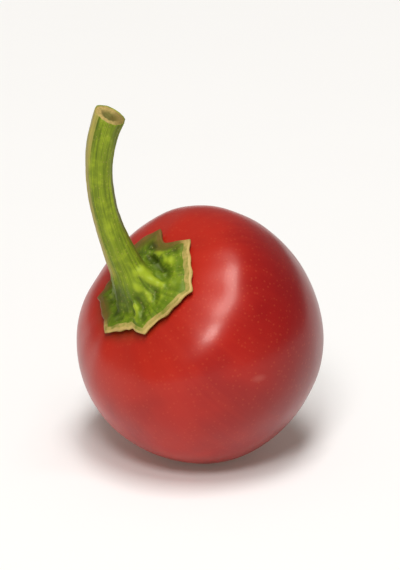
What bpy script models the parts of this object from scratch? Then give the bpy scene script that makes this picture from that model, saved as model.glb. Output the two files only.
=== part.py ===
"""A hot cherry pepper, as picked and lying on a surface.

It has two grown pieces. The fruit is a round body, flatter at its stem end. The stem and
calyx are one piece: the calyx is a toothed cap that follows the fruit's shoulder, and its
ribs run up into the stem.

Metres, +Z up. The origin is the middle of the small flat spot that the fruit rests on. Both
pieces are shaped in the fruit's own frame, whose origin is the fruit's centre and whose +Z
runs out through the stem end, and the parent empty leans that frame over. A polar angle is
measured from +Z and an azimuth from +X, the side that the stem end leans down to.
"""

import math

import bmesh
import bpy
import numpy as np
from mathutils import Euler, Vector

MM = 0.001
DEG = math.pi / 180.0

# Pose: the stem end leans from upright towards this heading, which is measured from +X
LEAN = 48.0 * DEG
LEAN_HEADING = -145.3 * DEG

# Fruit: a ball that is flattened at the stem end, with a well there and a blossom dimple
FRUIT_RADIUS = 17.3 * MM
SHOULDER_FLATTENING = 0.19
SHOULDER_SPREAD = 51.0 * DEG
SHOULDER_SHARPNESS = 2.7
STEM_WELL_DEPTH = 1.8 * MM
STEM_WELL_SPREAD = 24.0 * DEG
BLOSSOM_DIMPLE_DEPTH = 0.7 * MM
BLOSSOM_DIMPLE_SPREAD = 10.0 * DEG
FLAT_SPOT_DEPTH = 0.35 * MM

# Shoulder: a low ridge round the stem end, highest on one side, where a flatter face crosses it
SHOULDER_RIDGE_POLAR = 59.8 * DEG
SHOULDER_RIDGE_SPREAD = 12.2 * DEG
SHOULDER_RIDGE_HEIGHT = 0.34 * MM
FACE_AZIMUTH = 108.0 * DEG
FACE_POLAR = 56.0 * DEG
FACE_SPAN = 27.9 * DEG
FACE_REACH = 26.0 * DEG
FACE_DEPTH = 0.82 * MM

# Lobes round the fruit: how many, their height as a share of the radius, their azimuth
LOBES = ((2, 0.020, 39.5 * DEG), (3, 0.006, 87.5 * DEG), (4, 0.010, 28.5 * DEG))

# Calyx teeth: azimuth, polar angle on the fruit that the tip reaches, and how far the rim
# bows out on the way to the next tooth, as a share of its reach
TEETH = (
    (-3.6 * DEG, 28.0 * DEG, -0.03),
    (52.9 * DEG, 30.0 * DEG, 0.07),
    (111.2 * DEG, 36.1 * DEG, 0.045),
    (164.0 * DEG, 36.5 * DEG, -0.15),
    (199.4 * DEG, 33.9 * DEG, 0.05),
    (254.0 * DEG, 28.5 * DEG, -0.12),
    (303.2 * DEG, 26.0 * DEG, -0.03),
)
TOOTH_SPUR = 0.6 * DEG
SPUR_WIDTH = 0.12
CALYX_GAP = 0.33 * MM
RIM_LIFT = 0.15 * MM
CALYX_THICKNESS = 0.80 * MM
CALYX_HOLLOW = 0.35 * MM
FLARE_RISE = 3.4 * MM
RIB_HEIGHT = 0.50 * MM

# Stem: control points of its centre line in the fruit's frame
STEM_PATH = np.array(((-0.2, 0.0, 13.6), (-2.2, -0.2, 18.3), (-6.5, -2.6, 29.3), (-16.5, -1.2, 32.8))) * MM
FLARE_END = 0.20

# Stem radius at shares of the path, from the top of the flare to the swollen tip
STEM_RADII = ((0.20, 2.20), (0.35, 1.90), (0.50, 1.70), (0.68, 1.70), (0.85, 1.85), (0.94, 1.98), (1.0, 2.15))
RIDGE_HEIGHT = 0.11 * MM

# Cut end of the stem: how far and which way the cut is tilted, and rings of (radius share, depth)
CUT_TILT = 14.0 * DEG
CUT_TILT_AZIMUTH = 64.0 * DEG
CUT_TAPER = 0.14
CUT_RINGS = ((0.80, 0.10 * MM), (0.45, 0.45 * MM))
CUT_CENTRE_DEPTH = 0.55 * MM

# Mesh density
FRUIT_COLUMNS = 56
FRUIT_ROWS = 34
COLUMNS_PER_TOOTH = 8
UNDERSIDE_ROWS = 6
FLARE_ROWS = 13
STEM_ROWS = 25


def clear_scene():
    """Remove every object of the open scene."""
    for item in list(bpy.data.objects):
        bpy.data.objects.remove(item, do_unlink=True)


def make_material(name, colour, roughness):
    """A plain Principled material."""
    material = bpy.data.materials.new(name)
    material.use_nodes = True
    shader = material.node_tree.nodes["Principled BSDF"]
    shader.inputs["Base Color"].default_value = (*colour, 1.0)
    shader.inputs["Roughness"].default_value = roughness
    shader.inputs["Metallic"].default_value = 0.0
    return material


def add_piece(name, mesh, material, parent):
    """Link a smooth-shaded object for the mesh, with its material, under the parent."""
    mesh.materials.append(material)
    mesh.shade_smooth()
    piece = bpy.data.objects.new(name, mesh)
    bpy.context.scene.collection.objects.link(piece)
    piece.parent = parent
    return piece


def smooth_step(low, high, value):
    """0 below low, 1 above high, and a smooth rise between them."""
    share = np.clip((value - low) / (high - low), 0.0, 1.0)
    return share * share * (3.0 - 2.0 * share)


def shoulder_relief(polar, azimuth):
    """Height of the shoulder's ridge less the depth of the flatter face."""
    aside = (azimuth - FACE_AZIMUTH + math.pi) % (2.0 * math.pi) - math.pi
    crest = np.exp(-(((polar - SHOULDER_RIDGE_POLAR) / SHOULDER_RIDGE_SPREAD) ** 2))
    ridge = SHOULDER_RIDGE_HEIGHT * crest * (0.5 + 0.5 * np.cos(aside))
    face = np.exp(-((aside / FACE_SPAN) ** 2) - ((polar - FACE_POLAR) / FACE_REACH) ** 2)
    return ridge - FACE_DEPTH * face


def skin_radius(polar, azimuth):
    """Distance of the fruit's skin from its centre."""
    flattening = SHOULDER_FLATTENING * np.exp(-((polar / SHOULDER_SPREAD) ** SHOULDER_SHARPNESS))
    well = STEM_WELL_DEPTH * np.exp(-((polar / STEM_WELL_SPREAD) ** 2))
    dimple = BLOSSOM_DIMPLE_DEPTH * np.exp(-(((math.pi - polar) / BLOSSOM_DIMPLE_SPREAD) ** 2))
    lobes = sum(height * np.cos(count * (azimuth - turn)) for count, height, turn in LOBES)
    body = (FRUIT_RADIUS * (1.0 - flattening) - well - dimple) * (1.0 + lobes * np.sin(polar) ** 2)
    return body + shoulder_relief(polar, azimuth)


def spherical(radius, polar, azimuth):
    """Points in the fruit's frame, with the coordinates on the last axis."""
    radius, polar, azimuth = np.broadcast_arrays(radius, polar, azimuth)
    across = radius * np.sin(polar)
    return np.stack((across * np.cos(azimuth), across * np.sin(azimuth), radius * np.cos(polar)), axis=-1)


def closed_mesh(name, first_pole, rings, last_pole):
    """A closed mesh through rings of points, capped with a fan of triangles to each pole.

    The rings run counter-clockwise as seen from the last pole.
    """
    rows, columns = rings.shape[:2]
    points = [first_pole, *rings.reshape(-1, 3), last_pole]
    last = len(points) - 1
    faces = []
    for column in range(columns):
        following = (column + 1) % columns
        faces.append((0, 1 + following, 1 + column))
        for row in range(rows - 1):
            here = 1 + row * columns
            above = here + columns
            faces.append((here + column, here + following, above + following, above + column))
        top = 1 + (rows - 1) * columns
        faces.append((top + column, top + following, last))
    mesh = bpy.data.meshes.new(name)
    mesh.from_pydata([tuple(point) for point in points], [], faces)
    return mesh


def lowest_height(mesh, up):
    """Height of the mesh's lowest point along a unit direction."""
    return min(vertex.co.dot(up) for vertex in mesh.vertices)


def cut_flat_spot(mesh, up):
    """Slice off the lowest part of the fruit and close it with one flat face.

    Returns the middle of that face.
    """
    level = lowest_height(mesh, up) + FLAT_SPOT_DEPTH
    solid = bmesh.new()
    solid.from_mesh(mesh)
    everything = [*solid.verts, *solid.edges, *solid.faces]
    bmesh.ops.bisect_plane(
        solid, geom=everything, dist=1e-7, plane_co=up * level, plane_no=up, clear_inner=True
    )
    rim = [edge for edge in solid.edges if edge.is_boundary]
    spot = bmesh.ops.contextual_create(solid, geom=rim)["faces"][0]
    spot.normal_update()
    middle = spot.calc_center_median_weighted()
    solid.to_mesh(mesh)
    solid.free()
    return middle


def build_fruit(parent, lean):
    """The fruit, with its flat spot on the side that faces down. Returns the spot's middle."""
    polar = np.linspace(math.pi, 0.0, FRUIT_ROWS + 1)[1:-1, None]
    azimuth = np.linspace(0.0, 2.0 * math.pi, FRUIT_COLUMNS, endpoint=False)[None, :]
    rings = spherical(skin_radius(polar, azimuth), polar, azimuth)
    blossom_end = (0.0, 0.0, -skin_radius(math.pi, 0.0))
    stem_end = (0.0, 0.0, skin_radius(0.0, 0.0))
    mesh = closed_mesh("fruit", blossom_end, rings, stem_end)
    up = lean.inverted() @ Vector((0.0, 0.0, 1.0))
    spot_middle = cut_flat_spot(mesh, up)
    skin = make_material("fruit_skin", (0.42, 0.020, 0.012), 0.28)
    add_piece("fruit", mesh, skin, parent)
    return spot_middle


def calyx_columns():
    """Azimuth, rim polar angle and tooth phase of each column of the stem and calyx.

    The phase is a whole number at a tooth. Between two teeth the rim is the straight line
    through their tips, drawn with the polar angle as the distance from the middle, then
    bowed out or in. Each tip stands out a little further as a spur.
    """
    phase = np.arange(len(TEETH) * COLUMNS_PER_TOOTH) / COLUMNS_PER_TOOTH
    index = phase.astype(int)
    share = phase - index
    first_azimuth, first_reach, first_bow = TEETH[0]
    closed = (*TEETH, (first_azimuth + 2.0 * math.pi, first_reach, first_bow))
    tip_azimuth, tip_reach, bow = np.array(closed).T
    start, end = tip_azimuth[index], tip_azimuth[index + 1]
    near, far = tip_reach[index], tip_reach[index + 1]
    azimuth = start + (end - start) * share
    chord = near * far * np.sin(end - start) / (near * np.sin(azimuth - start) + far * np.sin(end - azimuth))
    bowed = chord * (1.0 + bow[index] * np.sin(math.pi * share))
    spur = TOOTH_SPUR * np.exp(-((np.minimum(share, 1.0 - share) / SPUR_WIDTH) ** 2))
    return azimuth, bowed + spur, phase


def ribs(phase):
    """Rib height round the calyx as a share: a full rib to each tooth, a half rib between."""
    main = (0.5 + 0.5 * np.cos(2.0 * math.pi * phase)) ** 2
    between = (0.5 - 0.5 * np.cos(2.0 * math.pi * phase)) ** 2
    return main + 0.5 * between


def stem_ring(share, radius, azimuth):
    """Points at a radius round the stem's centre line, at a share of its path.

    The centre line is the cubic curve through its control points. The ring's own Y axis is
    the fruit's Y axis, turned square to the curve.
    """
    share = share[:, None]
    start, first, second, end = STEM_PATH
    rest = 1.0 - share
    centre = rest**3 * start + 3 * rest**2 * share * first + 3 * rest * share**2 * second + share**3 * end
    run = rest**2 * (first - start) + 2 * rest * share * (second - first) + share**2 * (end - second)
    run = run / np.linalg.norm(run, axis=1, keepdims=True)
    side = np.array((0.0, 1.0, 0.0)) - run[:, 1:2] * run
    side = side / np.linalg.norm(side, axis=1, keepdims=True)
    front = np.cross(side, run)
    around = (
        np.cos(azimuth)[None, :, None] * front[:, None, :] + np.sin(azimuth)[None, :, None] * side[:, None, :]
    )
    return centre[:, None, :] + radius[..., None] * around, run


def calyx_underside(azimuth, rim):
    """Rows from the middle out to the rim, just clear of the skin, lifting at the rim."""
    share = np.linspace(0.0, 1.0, UNDERSIDE_ROWS + 1)[1:, None]
    polar = share * rim
    gap = CALYX_GAP + RIM_LIFT * smooth_step(0.7, 1.0, share)
    return spherical(skin_radius(polar, azimuth) + gap, polar, azimuth)


def calyx_rim(azimuth, rim):
    """Two rows that round the rim's edge."""
    share = np.array((1.02, 1.01))[:, None]
    lift = np.array((0.35, 0.80))[:, None] * CALYX_THICKNESS
    polar = share * rim
    return spherical(skin_radius(polar, azimuth) + CALYX_GAP + RIM_LIFT + lift, polar, azimuth)


def calyx_flare(azimuth, rim, phase):
    """Rows from the rim up the ribbed top of the calyx to the foot of the stem.

    A row's share runs from 0 at the rim to 1 at the stem. The calyx narrows fast and rises
    slowly at first, and the rows turn from the fruit's axis to the stem's own centre line.
    """
    share = np.linspace(0.0, 1.0, FLARE_ROWS)[:, None]
    narrowing = (1.0 - share) ** 1.7
    polar = rim * narrowing
    dish = CALYX_HOLLOW * np.sin(math.pi * np.minimum(share / 0.6, 1.0))
    relief = RIB_HEIGHT * ribs(phase) * np.sin(math.pi * share**0.7)
    height = CALYX_GAP + RIM_LIFT + CALYX_THICKNESS - dish + relief
    level = spherical(skin_radius(polar, azimuth) + height, polar, azimuth)
    level[..., 2] += FLARE_RISE * share**3
    foot = STEM_RADII[0][1] * MM
    reach = skin_radius(rim, azimuth) * np.sin(rim)
    radius = foot + (reach - foot) * narrowing + RIDGE_HEIGHT * ribs(phase)
    outward = np.stack((np.cos(azimuth), np.sin(azimuth), np.zeros_like(azimuth)), axis=-1)
    level[..., :2] = (radius[..., None] * outward)[..., :2]
    swept, _ = stem_ring(FLARE_END * share[:, 0], radius, azimuth)
    turn = smooth_step(0.35, 1.0, share)[..., None]
    return (1.0 - turn) * level + turn * swept


def stem_rows(azimuth, phase):
    """Rows along the ridged stem, the last ones sheared into the plane of the cut."""
    share = np.linspace(FLARE_END, 1.0, STEM_ROWS + 1)[1:]
    where, size = np.array(STEM_RADII).T
    ridge = RIDGE_HEIGHT * ribs(phase)[None, :]
    radius = np.interp(share, where, size * MM)[:, None] + ridge
    rows, run = stem_ring(share, radius, azimuth)
    lean = radius * np.cos(azimuth - CUT_TILT_AZIMUTH) * math.tan(CUT_TILT)
    lean = lean * smooth_step(1.0 - CUT_TAPER, 1.0, share)[:, None]
    return rows - lean[..., None] * run[:, None, :]


def cut_end(edge):
    """Rings inside the stem's cut edge, and the sunken middle of the cut."""
    middle = edge.mean(axis=0)
    across = edge - middle
    inward = -np.cross(across[0], across[len(across) // 4])
    inward = inward / np.linalg.norm(inward)
    rings = np.stack([middle + size * across + depth * inward for size, depth in CUT_RINGS])
    return rings, middle + CUT_CENTRE_DEPTH * inward


def build_stem_and_calyx(parent):
    """The stem and calyx, one closed body of rows from the calyx's underside to the cut."""
    azimuth, rim, phase = calyx_columns()
    flare = calyx_flare(azimuth, rim, phase)
    stem = stem_rows(azimuth, phase)
    cut_rings, cut_middle = cut_end(stem[-1])
    rings = np.concatenate((calyx_underside(azimuth, rim), calyx_rim(azimuth, rim), flare, stem, cut_rings))
    underside_middle = (0.0, 0.0, skin_radius(0.0, 0.0) + CALYX_GAP)
    mesh = closed_mesh("stem_and_calyx", underside_middle, rings, cut_middle)
    green = make_material("stem_green", (0.16, 0.22, 0.035), 0.5)
    add_piece("stem_and_calyx", mesh, green, parent)


def main():
    clear_scene()
    lean = Euler((0.0, LEAN, LEAN_HEADING)).to_matrix()
    pepper = bpy.data.objects.new("pepper", None)
    bpy.context.scene.collection.objects.link(pepper)
    spot_middle = build_fruit(pepper, lean)
    build_stem_and_calyx(pepper)
    pepper.rotation_euler = (0.0, LEAN, LEAN_HEADING)
    pepper.location = -(lean @ spot_middle)


main()
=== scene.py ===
"""Looks of a hot cherry pepper: its red skin, its green calyx and stem, the floor and the light.

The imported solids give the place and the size. Two fine surfaces stand in for them: the
fruit's skin, and the stem that flares into the calyx. Both are worked out in the fruit's own
frame, whose origin is the fruit's centre and whose +Z runs out through the stem end, and are
then leaned over to where the solids lie. A polar angle is measured from +Z and an azimuth
from +X, the side that the stem end leans down to. Lengths are metres. A constant with STEP
in its name holds the two values between which a smooth step runs.
"""

import math

import bpy
import numpy as np
from bpy.props import FloatProperty, FloatVectorProperty, PointerProperty
from mathutils import Euler, Matrix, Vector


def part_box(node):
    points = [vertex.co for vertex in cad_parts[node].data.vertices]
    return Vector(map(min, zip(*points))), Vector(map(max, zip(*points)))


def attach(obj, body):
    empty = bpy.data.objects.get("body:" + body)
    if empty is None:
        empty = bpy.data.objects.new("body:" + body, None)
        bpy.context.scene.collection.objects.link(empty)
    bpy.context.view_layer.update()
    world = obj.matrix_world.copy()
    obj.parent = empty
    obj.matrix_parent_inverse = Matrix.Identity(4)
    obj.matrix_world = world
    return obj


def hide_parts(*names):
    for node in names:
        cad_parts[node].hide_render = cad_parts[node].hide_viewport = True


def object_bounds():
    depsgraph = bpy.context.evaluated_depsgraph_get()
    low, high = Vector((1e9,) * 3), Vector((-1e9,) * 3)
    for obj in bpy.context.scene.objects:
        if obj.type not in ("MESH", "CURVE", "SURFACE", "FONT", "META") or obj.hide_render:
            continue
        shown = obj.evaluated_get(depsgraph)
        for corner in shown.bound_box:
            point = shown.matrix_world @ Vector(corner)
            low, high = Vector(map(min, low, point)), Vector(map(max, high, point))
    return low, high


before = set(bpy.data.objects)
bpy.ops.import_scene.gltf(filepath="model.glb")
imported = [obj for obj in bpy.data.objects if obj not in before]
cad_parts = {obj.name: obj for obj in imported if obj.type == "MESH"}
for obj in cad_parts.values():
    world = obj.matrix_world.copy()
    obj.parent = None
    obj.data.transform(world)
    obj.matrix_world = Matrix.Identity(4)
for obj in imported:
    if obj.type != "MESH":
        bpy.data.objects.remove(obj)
CAD_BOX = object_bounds()

bl_info = {
    "name": "Cherry Pepper",
    "version": (1, 0, 0),
    "blender": (4, 5, 0),
    "location": "3D View > Sidebar > Cherry Pepper",
    "description": "Builds the skin, calyx and stem of a hot cherry pepper, and a pale studio round it",
    "category": "Add Mesh",
}

MM = 0.001
DEG = math.pi / 180.0
TURN = 2.0 * math.pi

# Pose of the fruit's own frame
LEAN = 48.0 * DEG
LEAN_HEADING = -145.3 * DEG

# Fruit. A lobe is how many go round, its share of the radius and the azimuth of its crest
SHOULDER_SPREAD = 51.0 * DEG
SHOULDER_SHARPNESS = 2.7
STEM_WELL_SPREAD = 24.0 * DEG
BLOSSOM_DIMPLE_DEPTH = 0.7 * MM
BLOSSOM_DIMPLE_SPREAD = 10.0 * DEG
CONTACT_SOFTNESS = 0.12 * MM
RIDGE_POLAR = 59.8 * DEG
RIDGE_SPREAD = 12.2 * DEG
FACE_AZIMUTH = 108.0 * DEG
FACE_POLAR = 56.0 * DEG
FACE_SPAN = 27.9 * DEG
FACE_REACH = 26.0 * DEG
LOBES = ((2, 0.020, 39.5 * DEG), (3, 0.006, 87.5 * DEG), (4, 0.010, 28.5 * DEG))

# Low relief of the skin. A wave is its height, wavelength and seed. A crease is how many go
# round, its share of the height and its phase
SKIN_WAVES = ((0.10 * MM, 17.0 * MM, 3), (0.018 * MM, 5.0 * MM, 4))
CREASES = ((7.0, 1.0, 1.3), (11.0, 0.7, 0.4), (16.0, 0.5, 2.0))
CREASE_HEIGHT = 0.045 * MM
CREASE_STEP_UP = (24.0 * DEG, 36.0 * DEG)
CREASE_STEP_DOWN = (44.0 * DEG, 70.0 * DEG)
SCAR_HEIGHT = 0.35 * MM
SCAR_SPREAD = 2.2 * DEG

# A small paler pink patch on the skin: the place of its middle, with heights doubled so that it lies flat
PALE_PATCH_STRETCH = (1.0, 1.0, 2.0)
PALE_PATCH_PLACE = (7.85 * MM, -14.37 * MM, 33.3 * MM)
PALE_PATCH_STEP = (1.5 * MM, 0.2 * MM)

# Calyx teeth: azimuth, polar angle that the tip reaches, and how far the rim bows out on the
# way to the next tooth, as a share of its reach. A frill is how many go round, its share of the
# height and its phase
TEETH = (
    (-3.6 * DEG, 28.0 * DEG, -0.03),
    (52.9 * DEG, 30.0 * DEG, 0.07),
    (111.2 * DEG, 36.1 * DEG, 0.045),
    (164.0 * DEG, 36.5 * DEG, -0.15),
    (199.4 * DEG, 33.9 * DEG, 0.05),
    (254.0 * DEG, 28.5 * DEG, -0.12),
    (303.2 * DEG, 26.0 * DEG, -0.03),
)
TOOTH_SPUR = 0.6 * DEG
SPUR_WIDTH = 0.12
NICK_AZIMUTH = 38.0 * DEG
NICK_WIDTH = 4.0 * DEG
NICK_DEPTH = 1.5 * DEG
FRILL_HEIGHT = 0.25 * DEG
FRILLS = ((9.0, 1.0, 0.5), (23.0, 0.8, 0.0))

# Calyx in section, from its underside over the rim and up the flare
CALYX_GAP = 0.16 * MM
RIM_LIFT = 0.20 * MM
LIFT_STEP = (0.75, 1.0)
RIM_BULGE = 0.9 * DEG
RIM_CROWN = 1.3 * DEG
FLARE_RISE = 3.4 * MM
FLARE_NARROWING = 1.7
TURN_STEP = (0.35, 1.0)
CALYX_HOLLOW = 0.35 * MM
HOLLOW_END = 0.6
RIB_SKEW = 0.7

# Folds of the calyx, each along a short line: azimuth and polar angle of its start, the same of
# its end, half width, all in degrees, and height at the start, which is below 0 for a furrow
FOLDS = (
    (143.0, 8.5, 111.0, 20.4, 2.8, 2.5),
    (86.0, 9.4, 90.0, 15.4, 2.3, 1.3),
    (109.0, 9.5, 106.0, 11.9, 1.7, -0.4),
    (55.0, 15.1, 49.0, 23.8, 2.0, 1.2),
    (83.0, 17.4, 67.0, 27.9, 2.1, 1.1),
    (-178.0, 22.6, 151.0, 24.4, 2.6, 1.3),
    (151.0, 24.4, 129.0, 26.5, 2.3, 0.9),
    (93.0, 22.1, 97.0, 25.9, 2.3, 0.6),
    (-170.0, 18.8, 131.0, 22.9, 2.4, -0.9),
    (-174.0, 18.3, 159.0, 17.8, 2.6, -0.6),
    (6.0, 8.5, 0.0, 20.5, 3.0, -1.3),
    (66.0, 13.3, 59.0, 25.8, 2.2, -1.2),
    (101.0, 17.3, 82.0, 24.3, 2.2, -1.1),
    (-165.0, 24.3, 172.0, 28.4, 2.8, -1.1),
    (162.0, 28.8, 156.0, 29.1, 2.2, -0.6),
)
FOLD_HEIGHT = 0.19 * MM
FOLD_LOSS = 1.0 / 3.0
FOLD_STEP_UP = (0.0, 0.10)
FOLD_STEP_DOWN = (0.80, 1.0)

# Noise of the calyx and stem: wavelength and seed. Pleats and lines are drawn out along the
# tissue, whose girth is one turn of a circle of radius 1 and whose length is its pitch. What is
# ON_FLARE is the flare's length as a share of the stem's, and a SHADE is how far the painted
# light and shade in the colours follow it
PLEATS = (0.36, 11)
PLEAT_PITCH = 1.0
WRINKLES = (1.7 * MM, 12)
FINE_WRINKLES = (0.9 * MM, 18)
PLEAT_HEIGHT = 0.30 * MM
PLEAT_SHARE = 0.36
WRINKLE_SHARE = 0.34
FINE_WRINKLE_SHARE = 0.45
PLEAT_STEP_UP = (0.01, 0.22)
PLEAT_STEP_DOWN = (0.35, 0.80)
PLEAT_LOSS = 0.85
LINES = (0.70, 13)
FINE_LINES = (0.33, 14)
FINE_LINE_SHARE = 0.6
LINE_PITCH = 0.75
LINE_HEIGHT = 0.075 * MM
LINE_STEP = (0.5, 1.0)
LINE_SHADE = 0.45
LINES_ON_FLARE = 0.35
RIM_WAVE = (2.4 * MM, 17)
RIM_WAVE_HEIGHT = 0.07 * MM
RIM_WAVE_STEP = (0.0, 0.08)

# Stem centre line, its radius at shares of the path, and the tilt of its cut end
STEM_PATH = np.array(((-0.2, 0.0, 13.6), (-2.2, -0.2, 18.3), (-6.5, -2.6, 29.3), (-16.5, -1.2, 32.8))) * MM
FLARE_END = 0.20
STEM_RADII = ((0.20, 2.20), (0.35, 1.90), (0.50, 1.70), (0.68, 1.70), (0.85, 1.85), (0.94, 1.98), (1.0, 2.15))
RIDGE_HEIGHT = 0.11 * MM
CUT_TILT = 14.0 * DEG
CUT_TILT_AZIMUTH = 64.0 * DEG
CUT_TAPER = 0.14

# Cut end, by shares of its radius
PITH_DEPTH = 0.42 * MM
PITH_STEP = (0.25, 0.70)
CORTEX_DEPTH = 0.10 * MM
CORTEX_STEP_UP = (0.78, 0.9)
CORTEX_STEP_DOWN = (0.9, 1.0)
CUT_GRAIN = (0.6 * MM, 21)
CUT_GRAIN_HEIGHT = 0.05 * MM

# Guides for the green material, by shares of the rounded rim and of the flare
RIM_TINT_STEP = (0.40, 0.72)
CREST_STEP = (0.85, 1.0)
CREST_LOSS = 0.4
FLARE_TINT = 0.6
FLARE_TINT_STEP = (0.0, 0.016)
GRAIN_ON_FLARE = 0.25
GRAIN_LENGTH = 6.0

# Places of marks and of painted shade on the skin: radians from the stem end, and metres
# towards the side painted in shade
SHOULDER_STEP = (1.25, 0.75)
SCAR_STEP = (3.07, 3.115)
UNDER_CALYX_STEP = (0.62, 0.44)
SHADED_STEP = (2.0 * MM, 15.0 * MM)

# Sides of the stem and calyx that differ in colour; at SHADED_AZIMUTH the stem and its cut end
# are painted in shade
SEAM_AZIMUTH = 343.0 * DEG
SHADED_AZIMUTH = 152.0 * DEG
PALE_RIM_AZIMUTH = 78.0 * DEG

# Colours of small marks and edges, and of painted shade
SPECK_ORANGE = (0.75, 0.16, 0.06)
PALE_PATCH_PINK = (0.50, 0.13, 0.10)
SCAR_BROWN = (0.14, 0.075, 0.035)
# Skin round the calyx: a greenish tint and painted shade
UNDER_CALYX_TINT_AND_SHADE = (0.20, 0.045, 0.008)
# Painted shade on the far side of the stem
SHADED_OLIVE = (0.090, 0.075, 0.012)
EDGE_BROWN = (0.125, 0.080, 0.016)
RIM_BROWN = (0.20, 0.095, 0.025)
CRUST_BROWN = (0.300, 0.200, 0.050)
# A dry brown that is partly painted shade under the calyx's rim
UNDERSIDE_BROWN_AND_SHADE = (0.150, 0.060, 0.015)
PITH_OLIVE = (0.110, 0.115, 0.022)
# Painted shade on the far side of the cut end
CUT_PAINTED_SHADE = (0.130, 0.090, 0.016)

# Light panels: name, middle and length as shares of their common half height, width as a share
# of the full width, and brightness as a share of the key's
PANELS = (("key_upper", 0.38, 1.20, 1.0, 1.08), ("key_lower", -0.76, 0.54, 0.8, 2.0))
PANEL_DISTANCE = 2.0
PANEL_HALF_HEIGHT = 26.5 * DEG
PANEL_HALF_WIDTH = 8.5 * DEG

# Room, floor and camera
ROOM_COLOUR = (1.0, 0.97, 0.92)
FLOOR_HALF = 1.5
FLOOR_GLOW = (1.0, 0.88, 0.72)
FLOOR_GLOW_STRENGTH = 0.07
FLOOR_MOTTLE = 0.985
AIM_DROP = 2.0 * MM
SENSOR_HEIGHT = 36.0
CLIP_START = 0.01
CLIP_END = 20.0

# Smooth noise: how many waves, the spread of their rates, and what scales their sum to about 1
RIPPLE_WAVES = 24
RIPPLE_RATES = (0.75, 1.33)
RIPPLE_PEAK = 1.6

# Mesh density
FRUIT_COLUMNS = 320
FRUIT_ROWS = 210
COLUMNS_PER_TOOTH = 32
UNDERSIDE_ROWS = 12
RIM_ROWS = 14
FLARE_ROWS = 96
STEM_ROWS = 150
CUT_ROWS = 30


class PepperFruitSettings(bpy.types.PropertyGroup):
    """Size, shape and colours of the red fruit."""

    radius: FloatProperty(
        name="Radius", description="Widest radius of the fruit", default=17.3 * MM, unit="LENGTH"
    )
    flattening: FloatProperty(
        name="Shoulder Flattening",
        description="How much the stem end is flattened, as a share of the radius",
        default=0.19,
        subtype="FACTOR",
    )
    well_depth: FloatProperty(
        name="Well Depth", description="Depth of the well under the calyx", default=1.8 * MM, unit="LENGTH"
    )
    ridge_height: FloatProperty(
        name="Shoulder Ridge",
        description="Height of the ridge round the stem end",
        default=0.34 * MM,
        unit="LENGTH",
    )
    face_depth: FloatProperty(
        name="Face Depth",
        description="Depth of the flatter face of the shoulder",
        default=0.82 * MM,
        unit="LENGTH",
    )
    ripe: FloatVectorProperty(
        name="Ripe Red", description="Main colour of the skin", default=(0.43, 0.012, 0.006), subtype="COLOR"
    )
    deep: FloatVectorProperty(
        name="Deep Red",
        description="Darker patches of the skin",
        default=(0.27, 0.004, 0.005),
        subtype="COLOR",
    )
    # Painted shade: a darker red that stands for the shade on one side of the fruit
    shaded: FloatVectorProperty(
        name="Shaded Red", description="Dark side of the skin", default=(0.19, 0.003, 0.005), subtype="COLOR"
    )
    warm: FloatVectorProperty(
        name="Warm Red",
        description="Lighter skin on the shoulder",
        default=(0.465, 0.025, 0.010),
        subtype="COLOR",
    )


class PepperStemSettings(bpy.types.PropertyGroup):
    """Sizes and colours of the green stem and calyx."""

    thickness: FloatProperty(
        name="Calyx Thickness", description="Thickness of the calyx's rim", default=0.8 * MM, unit="LENGTH"
    )
    rib_height: FloatProperty(
        name="Rib Height", description="Height of the calyx's ribs", default=0.5 * MM, unit="LENGTH"
    )
    leaf: FloatVectorProperty(
        name="Stem Green",
        description="Main colour of the stem",
        default=(0.125, 0.184, 0.007),
        subtype="COLOR",
    )
    flesh: FloatVectorProperty(
        name="Calyx Green",
        description="Main colour of the calyx",
        default=(0.110, 0.178, 0.006),
        subtype="COLOR",
    )
    # Lighter streaks and mottle, and also painted light on the ribs and raised ridges
    bright: FloatVectorProperty(
        name="Bright Green", description="Ribs and lit ridges", default=(0.335, 0.425, 0.020), subtype="COLOR"
    )
    # Dark streaks, and also painted shade in the hollows
    dark: FloatVectorProperty(
        name="Dark Green",
        description="Hollows between the ribs",
        default=(0.036, 0.060, 0.003),
        subtype="COLOR",
    )
    pale: FloatVectorProperty(
        name="Pale Rim", description="Dry edge of the calyx", default=(0.520, 0.370, 0.120), subtype="COLOR"
    )
    cut: FloatVectorProperty(
        name="Cut Face",
        description="Dried tissue of the stem's cut end",
        default=(0.360, 0.270, 0.085),
        subtype="COLOR",
    )


class PepperStageSettings(bpy.types.PropertyGroup):
    """Camera, floor and light."""

    elevation: FloatProperty(
        name="Elevation", description="Camera height above the horizon", default=22.0 * DEG, subtype="ANGLE"
    )
    picture_height: FloatProperty(
        name="Picture Height",
        description="Height that the picture spans at the pepper",
        default=77.0 * MM,
        unit="LENGTH",
    )
    lens: FloatProperty(name="Lens", description="Focal length", default=600.0, subtype="DISTANCE_CAMERA")
    key: FloatProperty(name="Key Radiance", description="Brightness of the two soft panels", default=11.5)
    key_elevation: FloatProperty(
        name="Key Elevation",
        description="Height of the panels above the horizon",
        default=66.4 * DEG,
        subtype="ANGLE",
    )
    key_roll: FloatProperty(
        name="Key Roll",
        description="Turn of the panels about their own middle",
        default=-15.0 * DEG,
        subtype="ANGLE",
    )
    ambient: FloatProperty(name="Ambient", description="Brightness of the room", default=0.18)
    front: FloatProperty(
        name="Front", description="Added brightness of the room behind the camera", default=0.45
    )
    exposure: FloatProperty(name="Exposure", description="Stops of added exposure", default=0.07)
    floor: FloatVectorProperty(
        name="Floor", description="Colour of the floor", default=(0.88, 0.875, 0.865), subtype="COLOR"
    )


def smooth_step(low, high, value):
    """0 below low, 1 above high, and the cubic 3s^2 - 2s^3 of the share s between them."""
    share = np.clip((value - low) / (high - low), 0.0, 1.0)
    return share * share * (3.0 - 2.0 * share)


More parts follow.
